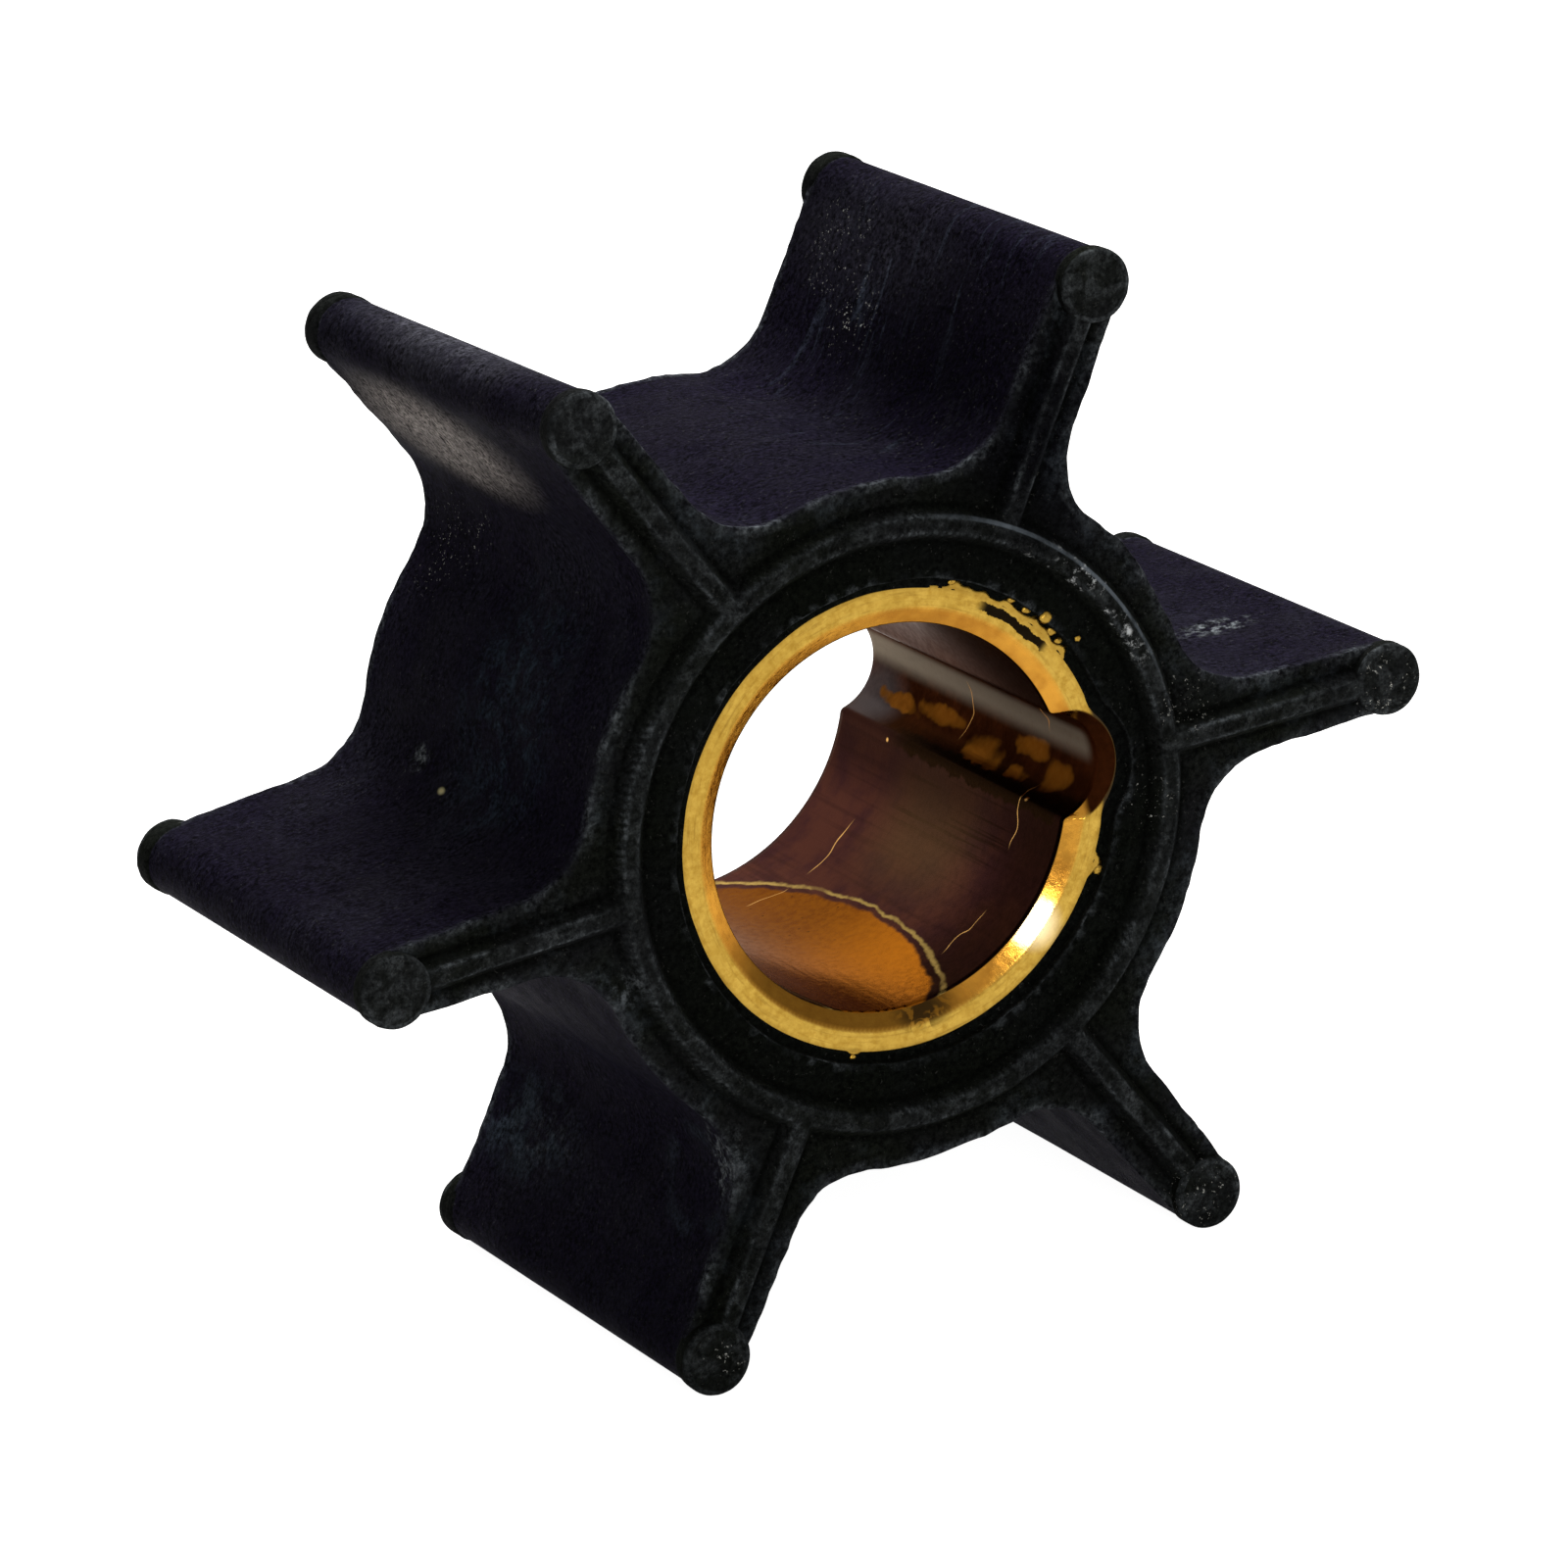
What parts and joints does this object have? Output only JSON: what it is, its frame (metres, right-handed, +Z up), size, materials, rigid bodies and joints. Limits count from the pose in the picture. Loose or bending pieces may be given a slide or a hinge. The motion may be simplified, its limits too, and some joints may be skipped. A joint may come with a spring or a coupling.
{
  "type": "rubber pump impeller",
  "caption": "Flexible rubber pump impeller with straight radial blades, rounded bead tips and ribbed ends, bonded round a brass sleeve with a half-round keyway.",
  "frame": {"origin": "middle of the bore, on the shaft axis halfway between the two end faces", "axes": "+Y along the shaft axis, +X through the blade behind the keyway, +Z up with the part standing on two blade tips"},
  "size_m": [0.0528, 0.0238, 0.0461],
  "materials": {
    "rubber": "matte, dusty",
    "brass": "machined, tarnished in the bore"
  },
  "bodies": {
    "root": {"rubber_moulding": "rubber", "brass_sleeve": "brass"}
  },
  "joints": []
}
